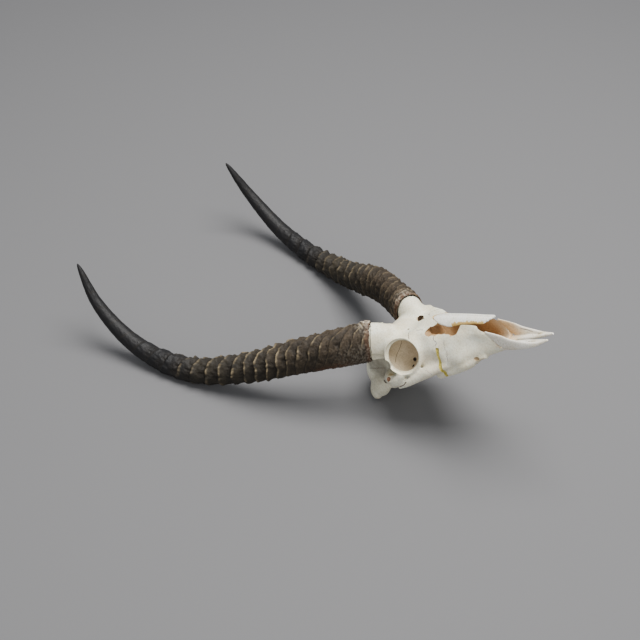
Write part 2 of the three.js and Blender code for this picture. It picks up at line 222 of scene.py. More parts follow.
# The horn's own frame, shared by stump, core and sheath: an axis through seven places, with an oval
# around it that is thinnest along one way and round towards the tip. All in millimetres.
HORN_BASE = np.array((90.1, 40, 104.4))
HORN_RUN = np.array([
    (0, 0, 0),
    (-67, 45.3, -27.2),
    (-139, 78.8, -64.8),
    (-215, 105, -88.5),
    (-292, 116.6, -80),
    (-354.5, 118.4, -42),
    (-394.5, 110.7, 5.3),
])
HORN_RADIUS = 22.2
HORN_TAPER = 0.5
BASE_FLATNESS = 0.71
ROUND_FROM = 0.75
HORN_THIN_WAY = np.array((-0.853, -0.402, -0.333))
RIM_SLOPE = 0.206
RIMS = {"left": -12.0, "right": -1.0}
RIM_BLEND = 60.0
AXIS_SAMPLES = 160
STUMP_INSET = 1.6
STUMP_ROOT = 42
CORE_INSET = 5.0
CORE_ROOT = 21
CORE_LENGTH = 225.0


def centripetal_axis(points):
    padded = np.vstack([2 * points[0] - points[1], points, 2 * points[-1] - points[-2]])
    out = []
    for i in range(len(points) - 1):
        p = padded[i : i + 4]
        knots = np.concatenate([[0], np.cumsum(np.linalg.norm(np.diff(p, axis=0), axis=1) ** 0.5)])
        for t in np.linspace(knots[1], knots[2], AXIS_SAMPLES, endpoint=False):
            level = list(p)
            for spans in (((0, 1), (1, 2), (2, 3)), ((0, 2), (1, 3)), ((1, 2),)):
                level = [
                    ((knots[b] - t) * first + (t - knots[a]) * second) / (knots[b] - knots[a])
                    for (a, b), first, second in zip(spans, level, level[1:])
                ]
            out.append(level[0])
    out.append(points[-1])
    return np.array(out)


AXIS = centripetal_axis(HORN_BASE + HORN_RUN)
AXIS_LENGTHS = np.concatenate([[0], np.cumsum(np.linalg.norm(np.diff(AXIS, axis=0), axis=1))])
HORN_LENGTH = AXIS_LENGTHS[-1]
AXIS_WAYS = np.gradient(AXIS, AXIS_LENGTHS, axis=0)


# Points of the oval, s millimetres along the axis at that angle, inset from the horn's own surface.
def horn_points(s, angle, inset, shrink=1.0):
    s, angle, inset, shrink = np.broadcast_arrays(s, angle, inset, shrink)
    t = np.clip(s / HORN_LENGTH, 0, 1)
    reach = t * HORN_LENGTH
    middle = np.stack([np.interp(reach, AXIS_LENGTHS, AXIS[:, i]) for i in range(3)], -1)
    way = np.stack([np.interp(reach, AXIS_LENGTHS, AXIS_WAYS[:, i]) for i in range(3)], -1)
    way /= np.linalg.norm(way, axis=-1, keepdims=True)
    short = HORN_THIN_WAY - (way @ HORN_THIN_WAY)[..., None] * way
    short /= np.linalg.norm(short, axis=-1, keepdims=True)
    long = np.cross(way, short)
    flat = np.sqrt(BASE_FLATNESS + (1 - BASE_FLATNESS) * np.minimum(1, t / ROUND_FROM))
    radius = HORN_RADIUS * (1 - t) ** HORN_TAPER
    return (
        middle
        + way * np.minimum(0, s)[..., None]
        + short * (shrink * (radius * flat - inset) * np.cos(angle))[..., None]
        + long * (shrink * (radius / flat - inset) * np.sin(angle))[..., None]
    )


def rim_place(rim, angle, inset):
    return rim - RIM_SLOPE * (HORN_RADIUS / math.sqrt(BASE_FLATNESS) - inset) * np.sin(angle)


WORLD_MM_TO_SKULL = SKULL_TO_WORLD.inverted() @ Matrix.Scale(MM, 4)


def mirror_to_right(mesh):
    mesh.transform(Matrix.Scale(-1, 4, (0, 1, 0)))
    mesh.flip_normals()


def put_in_skull(piece, side):
    if side == "right":
        mirror_to_right(piece.data)
    piece.data.transform(WORLD_MM_TO_SKULL)
    return piece


# The bony stump that swells out of the brow and ends beside the rim of the horn.
def stump(side):
    share = np.linspace(0, 1, 14)[:, None]
    angle = np.linspace(0, 2 * math.pi, 48, endpoint=False)[None]
    end = rim_place(RIMS[side], angle, STUMP_INSET) + 3.0
    s = -STUMP_ROOT + (end + STUMP_ROOT) * share
    points = horn_points(s, angle, STUMP_INSET, 0.85 + 0.15 * share)
    down = np.array((math.sin(SKULL_TILT), 0, -math.cos(SKULL_TILT)))
    points = points + down * (15 * (1 - share) ** 2)[..., None]
    return put_in_skull(ring_skin("stump", points, fans=True), side)


# The room of the horn beside its stump. Its end is a jagged edge, as the bone is ragged there.
def horn_room(side):
    angle = np.linspace(0, 2 * math.pi, 120, endpoint=False)[None]
    jagged = np.array([noise.noise((9 * math.cos(a), 9 * math.sin(a), RIMS[side])) for a in angle[0]])
    start = rim_place(RIMS[side], angle, 0) - 1.4 - 2.2 * np.abs(jagged)
    rows = [
        horn_points(start + 1.2, angle, 4.5),
        horn_points(start, angle, 1.7),
        horn_points(start, angle, -2.4),
        horn_points(0.5 * (start + RIM_BLEND), angle, -2.4),
        horn_points(RIM_BLEND + 0 * start, angle, -2.4),
    ]
    return put_in_skull(ring_skin("room", np.array([row[0] for row in rows]), fans=True), side)


# The bony core that carries the horn from inside, tapering to a blunt end.
def core(side):
    share = np.linspace(0, 1, 14)[:, None]
    angle = np.linspace(0, 2 * math.pi, 32, endpoint=False)[None]
    s = -CORE_ROOT + (CORE_LENGTH + CORE_ROOT) * share
    shrink = np.maximum(0.02, 1 - np.maximum(0, s) / CORE_LENGTH) ** 0.6
    points = horn_points(s, angle, CORE_INSET, shrink)
    return put_in_skull(ring_skin("core", points, fans=True), side)


# The seam between cheek bone and premaxilla slants: its upper end lies further back.
SEAM_SLANT = 9


def slant_share(z):
    return max(0, min(1.15, (z - 12) / 24.5))


# The roof of the snout is arched: towards its sides it falls off, more so in front.
head = bone_loft(HEAD_SLICES, 3.8)
for vertex in head.data.vertices:
    x, y, z = vertex.co
    roof = max(0, min(1, (z - 30) / 22))
    front = max(0, min(1, (x + 162) / 34))
    vertex.co.z -= roof * front * min(y * y, 240) / 25
    vertex.co.x -= SEAM_SLANT * max(0, min(1, (x + 80) / 20)) * slant_share(z)

bones = [
    head,
    bone_egg((-244, 0, 42), (42, 32, 30), -0.3),
    bone_egg((-275, 0, 33), (13, 27, 25), 0.25),
    bone_bar([(-292, 0, 16), (-262, 0, 14), (-215, 0, 22), (-170, 0, 30)], [8, 10, 9, 8]),
]
pairs = [
    orbit_rim(),
    bone_egg(ORBIT_CENTRE - ORBIT_DEPTH * ORBIT_OUT, [ORBIT_RADIUS + ORBIT_WALL] * 3),
    bone_bar([(-132, 29, 18), (-160, 41, 20.5), (-190, 50.5, 19), (-212, 48.5, 15.5)], [6, 7.5, 4.8, 2.2]),
    bone_bar([(-234, 30, 30), (-222, 43, 28), (-204, 51.5, 27), (-188, 51.5, 32)], [7, 7, 6.5, 5]),
    bone_bar([(-224, 36, 32), (-233, 37, 27), (-242, 33, 26)], [5.5, 6.5, 5]),
    bone_egg((-268, 26, 17), (19, 8, 13), -0.35),
    bone_bar([(-268, 22.5, 26), (-280, 26.5, 13), (-283.8, 27, 4)], [9, 8, 5.5]),
    bone_egg((-279, 30.5, 8), (4, 3.4, 4.5)),
    bone_egg((-290, 11, 15), (8, 8, 10)),
    bone_egg((-248, 19, 15), (12, 8, 9)),
    bone_bar([(-146, 15, 12), (-182, 15, 16), (-212, 11, 24)], [5, 5, 5]),
    bone_bar([(-84, 17, 8.5), (-120, 25, 8), (-158, 30, 9)], [5, 6.6, 6]),
]
bones += [on_both_sides(piece) for piece in pairs]
bones += [stump("left"), stump("right")]
cranium = join(bones)
cranium.name = "cranium_bone"
apply_modifier(cranium, "REMESH", mode="VOXEL", voxel_size=BONE_VOXEL)
apply_modifier(cranium, "SMOOTH", factor=0.5, iterations=SKIN_SMOOTHINGS)
# the rim of the eye socket runs smoothly into the brow and the face, in front of and above the eye
group = cranium.vertex_groups.new(name="before_the_eye")
for vertex in cranium.data.vertices:
    x, y, z = vertex.co
    from_eye = Vector((x, abs(y), z)) - ORBIT_CENTRE
    aside = (from_eye - from_eye.dot(ORBIT_OUT) * ORBIT_OUT).length
    if abs(from_eye.dot(ORBIT_OUT)) < 14 and ORBIT_RADIUS - 2 < aside < ORBIT_RADIUS + 13:
        group.add([vertex.index], max(0, min(1, 0.15 + (from_eye.x + from_eye.z) / 26)), "REPLACE")
apply_modifier(
    cranium, "SMOOTH", factor=0.5, iterations=BROW_SMOOTHINGS, vertex_group="before_the_eye"
)
cranium.vertex_groups.clear()


# Push or pull a round patch of the surface on both sides, fading out to its edge.
def push(piece, centre, radius, move):
    count = len(piece.data.vertices)
    places = np.empty(count * 3)
    piece.data.vertices.foreach_get("co", places)
    places = places.reshape(-1, 3)
    for hand in (1, -1):
        away = np.linalg.norm((places - np.array(centre) * (1, hand, 1)) / radius, axis=1)
        share = np.clip(1 - away, 0, 1)
        share = share * share * (3 - 2 * share)
        places += share[:, None] * np.array(move) * (1, hand, 1)
    piece.data.vertices.foreach_set("co", places.reshape(-1))


push(cranium, (-177, 13, 74), (28, 22, 18), (0, 0, -5.2))  # dip in the forehead over the eyes
push(cranium, (-192, 23, 78), (18, 14, 14), (0, 0, 5.4))  # ridge from the horn to the eye
push(cranium, (-165, 37, 72), (14, 14, 12), (0, 0, -2.6))
push(cranium, (-175, 35, 74), (12, 12, 12), (0, 0, -2.0))
push(cranium, (-264, 28, 42), (20, 18, 22), (2.0, -1.4, 0))
push(cranium, (-147, 37, 29), (18, 18, 17), (0, -4.2, 0))  # hollow of the cheek below the eye
push(cranium, (-112, 31, 17), (19, 18, 25), (0, 3.2, 0))  # swelling over the roots of the teeth
push(cranium, (-86, 22, 30), (20, 18, 17), (0, -3.4, 0))  # flat side of the snout
push(cranium, (-92, 22, 4), (14, 14, 7), (0, 0, 3.0))  # notch in front of the teeth
push(cranium, (-150, 34, 58), (14, 14, 14), (0, -1.6, -0.6))  # pit in front of the eye
push(cranium, (-247, 34, 44), (22, 14, 18), (0, -3.0, 0))  # hollow behind the eye


# Texture places in the skull's own frame, so that every stain can be put down in millimetres.
def mapped_to_skull(nodes, links):
    place = nodes.new("ShaderNodeTexCoord")
    mapping = nodes.new("ShaderNodeMapping")
    mapping.vector_type = "TEXTURE"
    mapping.inputs["Location"].default_value = SNOUT_TIP
    mapping.inputs["Rotation"].default_value = (0, -SKULL_TILT, 0)
    mapping.inputs["Scale"].default_value = (MM, MM, MM)
    links.new(place.outputs["Object"], mapping.inputs["Vector"])
    return mapping.outputs["Vector"]


def noise_of(nodes, links, vector, scale, detail=4.0, roughness=0.55):
    texture = nodes.new("ShaderNodeTexNoise")
    texture.inputs["Scale"].default_value = scale
    texture.inputs["Detail"].default_value = detail
    texture.inputs["Roughness"].default_value = roughness
    links.new(vector, texture.inputs["Vector"])
    return texture.outputs["Fac"]


def ramp_of(nodes, links, value, stops):
    ramp = nodes.new("ShaderNodeValToRGB")
    while len(ramp.color_ramp.elements) < len(stops):
        ramp.color_ramp.elements.new(0.5)
    for element, (place, colour) in zip(ramp.color_ramp.elements, stops):
        element.position = place
        element.color = (*colour, 1)
    links.new(value, ramp.inputs["Fac"])
    return ramp.outputs["Color"]


def mix_colours(nodes, links, share, first, second, blend="MIX"):
    mix = nodes.new("ShaderNodeMix")
    mix.data_type = "RGBA"
    mix.blend_type = blend
    for socket, value in (("Factor", share), ("A", first), ("B", second)):
        target = [s for s in mix.inputs if s.name == socket and s.enabled][0]
        if isinstance(value, (int, float)):
            target.default_value = value
        elif isinstance(value, tuple):
            target.default_value = (*value, 1)
        else:
            links.new(value, target)
    return [s for s in mix.outputs if s.enabled][0]


def bumped(nodes, links, shader, heights):
    normal = None
    for height, strength, distance in heights:
        bump = nodes.new("ShaderNodeBump")
        bump.inputs["Strength"].default_value = strength
        bump.inputs["Distance"].default_value = distance
        links.new(height, bump.inputs["Height"])
        if normal is not None:
            links.new(normal, bump.inputs["Normal"])
        normal = bump.outputs["Normal"]
    links.new(normal, shader.inputs["Normal"])


def math_of(nodes, links, operation, first, second):
    node = nodes.new("ShaderNodeMath")
    node.operation = operation
    for socket, value in zip(node.inputs, (first, second)):
        if isinstance(value, (int, float)):
            socket.default_value = value
        else:
            links.new(value, socket)
    return node.outputs[0]


def share_of(nodes, links, value, start, end):
    node = nodes.new("ShaderNodeMapRange")
    node.interpolation_type = "SMOOTHSTEP"
    links.new(value, node.inputs["Value"])
    node.inputs["From Min"].default_value = start
    node.inputs["From Max"].default_value = end
    return node.outputs["Result"]


# Bone: a light tone with soft darker clouds, fine pores and faint scratches that catch dirt.
# Stains and painted shade: centre in the skull's frame, radius, strength and colour; "both" mirrors them.
def bone_material(name, light, cloud, speck, stains_and_shade=(), fade_forward=None, inward=None):
    material = bpy.data.materials.new(name)
    material.use_nodes = True
    nodes, links = material.node_tree.nodes, material.node_tree.links
    shader = nodes["Principled BSDF"]
    place = mapped_to_skull(nodes, links)
    clouds = noise_of(nodes, links, place, 0.045, 5)
    fine = noise_of(nodes, links, place, 0.5, 6, 0.65)
    pores = noise_of(nodes, links, place, 1.3, 3, 0.5)
    tint = ramp_of(nodes, links, clouds, [(0.38, light), (0.62, cloud)])
    parts = nodes.new("ShaderNodeSeparateXYZ")
    links.new(place, parts.inputs[0])
    if fade_forward is not None:
        share = share_of(nodes, links, parts.outputs["X"], -88, -52)
        tint = mix_colours(nodes, links, share, tint, fade_forward)
    if inward is not None:
        coordinates = nodes.new("ShaderNodeTexCoord")
        normal_parts = nodes.new("ShaderNodeSeparateXYZ")
        links.new(coordinates.outputs["Normal"], normal_parts.inputs[0])
        facing = math_of(nodes, links, "MULTIPLY", normal_parts.outputs["Y"], parts.outputs["Y"])
        inner = share_of(nodes, links, facing, -1.5, -6)
        back = share_of(nodes, links, parts.outputs["X"], -34, -60)
        inner = math_of(nodes, links, "MULTIPLY", inner, back)
        tint = mix_colours(nodes, links, inner, tint, inward)
    for centre, radius, strength, colour, sides in stains_and_shade:
        spot = place
        if sides == "both":
            mirrored = nodes.new("ShaderNodeVectorMath")
            mirrored.operation = "ABSOLUTE"
            links.new(place, mirrored.inputs[0])
            spot = mirrored.outputs[0]
            centre = tuple(abs(value) for value in centre)
        away = nodes.new("ShaderNodeVectorMath")
        away.operation = "DISTANCE"
        links.new(spot, away.inputs[0])
        away.inputs[1].default_value = centre
        ragged = noise_of(nodes, links, place, 2.2 / radius, 5, 0.6)
        ragged = math_of(nodes, links, "MULTIPLY", ragged, 1.1 * radius)
        distance = math_of(nodes, links, "ADD", away.outputs["Value"], ragged)
        share = share_of(nodes, links, distance, 1.45 * radius, 0.75 * radius)
        share = math_of(nodes, links, "MULTIPLY", share, strength)
        tint = mix_colours(nodes, links, share, tint, colour)
    specks = ramp_of(nodes, links, pores, [(0.66, (0, 0, 0)), (0.74, (0.8, 0.8, 0.8))])
    tint = mix_colours(nodes, links, specks, tint, speck)
    grey = ramp_of(nodes, links, fine, [(0.30, (0.74, 0.72, 0.66)), (0.57, (1, 1, 1))])
    tint = mix_colours(nodes, links, 1.0, tint, grey, "MULTIPLY")
    links.new(tint, shader.inputs["Base Color"])
    shader.inputs["Roughness"].default_value = 0.56
    shader.inputs["Subsurface Weight"].default_value = 0.06
    shader.inputs["Subsurface Radius"].default_value = (0.004, 0.0025, 0.0015)
    bumped(nodes, links, shader, [(fine, 0.2, 0.0006), (pores, 0.2, 0.0003)])
    return material


bone = bone_material("bone", (0.92, 0.905, 0.755), (0.83, 0.775, 0.59), (0.54, 0.43, 0.29), [
    ((-245, 30, 42), 36, 1.0, (0.40, 0.37, 0.29), "both"),  # partly a stain where the chewing muscle lay, partly painted shade in the hollow of the temple
    ((-275, 22, 22), 34, 0.5, (0.64, 0.59, 0.43), "both"),
    ((-216, 43, 34), 9, 0.85, (0.56, 0.40, 0.18), "both"),  # dried tissue over the ear
    ((-178, 12, 70), 7, 0.75, (0.62, 0.45, 0.22), "one"),
    ((-130, 22, 52), 9, 0.3, (0.86, 0.74, 0.42), "both"),
    ((-196, 0, 74), 20, 0.28, (0.72, 0.60, 0.44), "both"),
    ((-200, 30, 82), 14, 0.32, (0.74, 0.64, 0.50), "both"),
    ((-92, 24, 8), 9, 0.35, (0.66, 0.54, 0.34), "both"),
    ((-140, -33, 22), 12, 0.28, (0.82, 0.74, 0.44), "one"),  # glue has run beside the crack
    # painted shade in the hollow of the cheek below and in front of the eye
    ((-160, 44, 20), 36, 0.6, (0.68, 0.62, 0.49), "both"),
    ((-148, 36, 25), 27, 0.55, (0.67, 0.61, 0.49), "both"),
    ((-61, 11.5, 15), 8, 0.9, (0.70, 0.50, 0.29), "both"),  # edges of the nose passage
    ((-60.5, 7, 11), 8, 0.9, (0.70, 0.50, 0.29), "both"),
])
orbit_bone = bone_material("bone_in_orbit", (0.68, 0.58, 0.41), (0.56, 0.46, 0.32), (0.32, 0.24, 0.15))
inner_bone = bone_material(
    "bone_inside", (0.58, 0.38, 0.19), (0.46, 0.26, 0.11), (0.28, 0.16, 0.08),
    stains_and_shade=[((-143, 19, 59), 19, 0.85, (0.38, 0.24, 0.12), "both")],
    fade_forward=(0.80, 0.69, 0.52),
)
dried_fibre = bone_material("dried_fibre", (0.74, 0.52, 0.19), (0.60, 0.40, 0.13), (0.3, 0.18, 0.07))
seam_brown = bone_material("seam_dirt", (0.20, 0.14, 0.09), (0.13, 0.09, 0.06), (0.05, 0.04, 0.03))
seam_grey = bone_material("seam_grey", (0.46, 0.44, 0.40), (0.38, 0.36, 0.32), (0.2, 0.18, 0.16))
groove_tan = bone_material("groove_tan", (0.66, 0.52, 0.33), (0.50, 0.37, 0.22), (0.3, 0.2, 0.12))
ear_red = bone_material("ear_red", (0.42, 0.22, 0.12), (0.28, 0.14, 0.08), (0.1, 0.06, 0.04))
# dark brown for the walls of openings: a stain, darkened further as painted shade of their depth
hole_stain_and_shade = bone_material("hole_stain_and_shade", (0.26, 0.18, 0.11), (0.18, 0.12, 0.07), (0.06, 0.04, 0.03))
# painted shade: near black for the walls of holes, standing in for the shade in their depth
hole_shade = bone_material("hole_shade", (0.10, 0.07, 0.045), (0.06, 0.045, 0.03), (0.03, 0.02, 0.02))
cranium.data.materials.append(bone)


def painted(piece, material):
    piece.data.materials.clear()
    piece.data.materials.append(material)
    return piece


# What the cutter leaves behind takes the cutter's material.
def cut(body, cutter, material=None, operation="DIFFERENCE", tangled=False):
    if material is not None:
        painted(cutter, material)
    apply_modifier(
        body, "BOOLEAN", operation=operation, object=cutter, solver="EXACT",
        material_mode="TRANSFER", use_self=tangled,
    )
    bpy.data.objects.remove(cutter)


# room for the horns around their stumps, then the cores that stand in them
cut(cranium, join([horn_room("left"), horn_room("right")]), bone)
cut(cranium, join([core("left"), core("right")]), bone, "UNION")

# the nose passage, from the open front back to the brow
nose = bone_loft([
    (-150, 10, 12, 34, 60),
    (-144, 16, 17, 24, 63),
    (-128, 21, 17, 14, 61),
    (-112, 20, 16, 13, 56),
    (-100, 18, 14.4, 12, 51),
    (-82, 16, 13.5, 12, 44),
    (-66, 13.6, 13.4, 12, 60),
    (-44, 12, 13, 15, 75),
    (-36, 10, 12, 20, 70),
], 4)
cut(cranium, nose, inner_bone)
# the open slot in the roof that the nasals lie in, wider in front where a gap stays beside them
slot = bone_loft([
    (-143, 1.6, 1.6, 40, 90),
    (-138, 6.4, 6.4, 40, 90),
    (-128, 11.4, 11.4, 40, 90),
    (-112, 12.4, 12.4, 38, 90),
    (-100, 12.2, 12.2, 36, 90),
    (-82, 11.6, 11.6, 30, 90),
    (-64, 12.2, 12.2, 26, 90),
    (-54, 13, 13, 20, 90),
    (-40, 13, 13, 20, 90),
], 8)
cut(cranium, slot, dried_fibre)

# the eye sockets: a round hollow each, and a flared mouth that runs out through the rim
MOUTH_FLARE = 4.5
MOUTH_DEPTH = 20
MOUTH_OUT = 5
lower = Vector((-1.3, 0, -0.7))
eyes = bone_egg(ORBIT_CENTRE + lower - ORBIT_DEPTH * ORBIT_OUT, [ORBIT_RADIUS] * 3)
cut(cranium, on_both_sides(eyes), orbit_bone)
deselect_all()
bpy.ops.mesh.primitive_cone_add(
    vertices=72, radius1=ORBIT_RADIUS, radius2=ORBIT_RADIUS + MOUTH_FLARE, depth=MOUTH_DEPTH
)
mouth = bpy.context.object
mouth.data.transform(
    Matrix.Translation(ORBIT_CENTRE + lower + MOUTH_OUT * ORBIT_OUT)
    @ ORBIT_OUT.to_track_quat("Z", "Y").to_matrix().to_4x4()
)
cut(cranium, on_both_sides(mouth), bone)
# the hollows of the temples, the opening for the spinal cord and the vault of the palate
cut(cranium, join([
    on_both_sides(bone_egg((-212, 63, 50), (17, 24, 22), 0, -0.25)),
    bone_bar([(-305, 0, 26), (-290, 0, 27), (-255, 0, 34)], [11, 10, 9]),
    bone_egg((-118, 0, -6), (58, 15, 15), 0.04),
]), bone)
# the braincase, and the throat passage behind the palate
cut(cranium, bone_egg((-241, 0, 45), (30, 25, 23), -0.3), inner_bone)
cut(cranium, bone_bar([(-212, 0, 2), (-182, 0, 12), (-138, 0, 27)], [8, 8, 8]), inner_bone)

# The open vacuity between nasal, tear bone and cheek. Its outline is ragged, and the bone around it
# is a thin shell, so the opening widens inwards.
VACUITY = [
    (-145.2, 62.6), (-143.4, 64.0), (-140.6, 65.1), (-136, 64.6), (-131, 65), (-125, 67.6),
    (-121, 69), (-115, 68.2), (-109.2, 66), (-104, 63.2), (-98.7, 60), (-97, 57.5), (-97.5, 54.5),
    (-99.2, 52.2), (-101.7, 49.5), (-104.4, 47.2), (-107.9, 46.3), (-110.8, 46.2), (-113.4, 47.1),
    (-114.6, 49), (-116.2, 50.1), (-118, 50.4), (-120.1, 52), (-124.5, 52.7), (-128.8, 54.5),
    (-133, 54.9), (-136.4, 56.8), (-140.2, 57.2), (-142.8, 58.9), (-144.4, 60.2),
]


def widened(outline, x_more, z_more):
    return [
        (
            x + x_more * max(-1, min(1, (x + 122) / 16)),
            z - z_more * max(0, min(1, (66 - z) / 8)) * max(0, min(1, (-103 - x) / 8)),
        )
        for x, z in outline
    ]


levels = [
    (34, VACUITY), (20.5, VACUITY), (16, widened(VACUITY, 0, 4)), (13, widened(VACUITY, 0.6, 6.5)),
    (10.5, widened(VACUITY, 3, 9)),
]
vacuity = ring_skin("stack", [[(x, y, z) for x, z in outline] for y, outline in levels])
cut(cranium, on_both_sides(vacuity), inner_bone)

# Empty sockets of the grinding teeth, two roots deep, and the ragged edge of bone beside them.
TOOTH_VOXEL = 0.9
TOOTH_COUNT = 6
TOOTH_PITCH = 11.2
CHIP_COUNT = 26
CHIP_PITCH = 2.9
sockets, chips = [], []
for k in range(TOOTH_COUNT):
    x, y = -91 - TOOTH_PITCH * k, 20.2 + 1.75 * k - 0.09 * k * k
    for root in (-2.4, 2.4):
        sockets.append(bone_egg((x + root, y, 1.5), (2.2, 3.0 + 0.2 * k, 8.5)))
for k in range(CHIP_COUNT):
    size = 1.0 + 1.8 * abs(noise.noise((k * 1.7, 2.2, 0)))
    height = -0.8 + 1.6 * noise.noise((k * 0.83, 9.4, 0)) + 2.6 * math.exp(-k / 3)
    aside = min(36, 22.5 + 0.29 * CHIP_PITCH * k)
    chips.append(bone_egg((-84 - CHIP_PITCH * k, aside, height), (size, 6.0, size), 0, 0.2))
for group, material in ((sockets, orbit_bone), (chips, bone)):
    cutter = on_both_sides(join(group))
    apply_modifier(cutter, "REMESH", mode="VOXEL", voxel_size=TOOTH_VOXEL)
    cut(cranium, cutter, material)

# The groove and the opening over the left eye, wide and stained; the opening's walls are dark brown, a stain
# deepened by painted shade.
cut(cranium, bone_bar([(-169.5, 6.2, 72.8), (-181, 15.0, 69.6)], [4.9, 4.4]), groove_tan)
cut(cranium, bone_bar([(-177.5, 13.8, 69.6), (-187, 20.4, 67.0)], [4.7, 3.6]), hole_stain_and_shade)


# A seam: a fine open line that follows the surface through these points, wavering as it goes.
def seam(piece, material, points, width, wander, seed):
    tree = BVHTree.FromObject(piece, bpy.context.evaluated_depsgraph_get())
    rows = np.array(points, float)
    step = max(1.4, 2 * width)
    steps = max(2, int(np.linalg.norm(np.diff(rows, axis=0), axis=1).mean() / step))
    path = between_rows(rows, steps)
    knots, radii = [], []
    for k, point in enumerate(path):
        jump = Vector([noise.noise((k * 0.9, seed, 7.0 * axis)) for axis in range(3)])
        knots.append(tree.find_nearest(Vector(point) + wander * 2 * jump)[0])
        radii.append(width * (0.75 + 0.7 * abs(noise.noise((k * 0.6, seed, 31.0)))))
    return painted(bone_bar(knots, radii, 1, 2), material)


# One crack of the right cheek has been glued: its groove is lined with old yellow glue.
glue = bpy.data.materials.new("old_glue")
glue.use_nodes = True
nodes, links = glue.node_tree.nodes, glue.node_tree.links
glue_place = mapped_to_skull(nodes, links)
streaks = noise_of(nodes, links, glue_place, 0.4, 4)
tint = ramp_of(nodes, links, streaks, [(0.35, (0.46, 0.38, 0.05)), (0.65, (0.66, 0.56, 0.16))])
links.new(tint, nodes["Principled BSDF"].inputs["Base Color"])
nodes["Principled BSDF"].inputs["Roughness"].default_value = 0.35
bumped(nodes, links, nodes["Principled BSDF"], [(streaks, 0.3, 0.0006)])
cracks = [
    seam(cranium, glue, [
        (-133.9, -30.5, 41.9), (-135.1, -32.3, 37.6), (-137.1, -34, 33.5), (-139.1, -35, 24.5),
        (-140.7, -36.2, 15), (-143.3, -33.6, 4.3),
    ], 2.9, 0.3, 9.0),
    seam(cranium, seam_grey, [
        (-121.5, -28, 48), (-123.5, -32, 41), (-123.4, -34.5, 33), (-125.5, -36.5, 28), (-129, -38, 17),
    ], 0.45, 0.7, 7.0),
]
# open seams between the bones: over the eye, through the eye socket, from tear bone to cheek,
# behind the cheek's tip and across the side of the braincase
for row in [
    (seam_brown, [(-163, 15, 70), (-168, 19, 70), (-168, 24, 70), (-164, 31, 69.5), (-161, 36, 66)],
     0.45, 1.3, 1.0),
    (seam_brown, [(-133.7, 24.2, 55.1), (-135.2, 26.5, 52.6), (-133.2, 27.9, 48.9), (-134.6, 29.2, 45.4)],
     0.45, 0.8, 2.0),
    (seam_brown, [(-207.1, 51.9, 18), (-198.8, 53.9, 18.8), (-192.1, 54.6, 20.3), (-188.1, 54.1, 22.2)],
     0.9, 0.2, 3.0),
    (seam_brown, [(-192.7, 19.3, 61.5), (-198.7, 21.6, 55.7), (-202.3, 27.2, 51.4), (-202.2, 37.9, 44.9)],
     0.42, 0.5, 4.0),
    (seam_brown, [(-270.2, 24.4, 44.1), (-248.4, 31.5, 42.3), (-235.2, 31.1, 39.3)], 0.42, 0.6, 5.0),
    (seam_grey, [(-158, 21.6, 70), (-152.4, 20.7, 67.1), (-149, 18.4, 64.5)], 0.4, 1.0, 6.0),
    (seam_grey, [(-157, 46, 28), (-153.9, 46, 23), (-151.5, 45, 17)], 0.4, 0.3, 8.0),
]:
    cracks.append(on_both_sides(seam(cranium, *row)))
# openings for nerves and vessels, the holes in the wall of the eye socket, and the ear; the near black walls
# of the holes are painted shade of their depth
for shape, material in [
    (bone_bar([(-240, 44, 26.5), (-226, 34, 27)], [3.0, 2.6]), hole_shade),
    (bone_bar([(-189, 22, 34.5), (-196, 14, 33)], [2.3, 2.0]), hole_shade),
    (bone_egg((-190.5, 28, 30), (1.3, 2, 2.8), 0.4), hole_shade),
    (bone_egg((-198.1, 27.5, 36.9), (0.8, 1.4, 0.8)), hole_shade),
    (bone_egg((-94, 24.5, 11), (3.6, 3.6, 2.3), 0.35), groove_tan),
    (bone_egg((-217, 51.5, 31.5), (4.6, 4.5, 2.4), 0.3), ear_red),
]:
    cracks.append(on_both_sides(painted(shape, material)))
cracks.append(painted(bone_bar([(-178.4, -12.5, 74), (-178.9, -12.5, 63)], [1.5, 1.2]), hole_stain_and_shade))
cut(cranium, join(cracks), tangled=True)


# A finished bone goes to its place in the world, above the floor, and stands in for its CAD node.
def finish_bone(piece, node, material):
    if not piece.data.materials:
        piece.data.materials.append(material)
    piece.data.transform(SKULL_TO_WORLD)
    for vertex in piece.data.vertices:
        vertex.co.z = max(0, vertex.co.z)
    select_only(piece)
    bpy.ops.object.shade_smooth_by_angle(angle=CREASE)
    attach(piece, "root")
    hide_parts(node)


finish_bone(cranium, "cranium", bone)

# ------------------------------------------------------------------ nasals
# Two thin arched plates that roof the nose, side by side along the midline, the brightest bone of
# the face. They sit loose in the open roof, and their front tips are weathered and jagged.

NASAL_VOXEL = 0.55
nasal_bone = bone_material(
    "bone_nasal", (0.95, 0.95, 0.895), (0.90, 0.88, 0.79), (0.62, 0.52, 0.38)
)


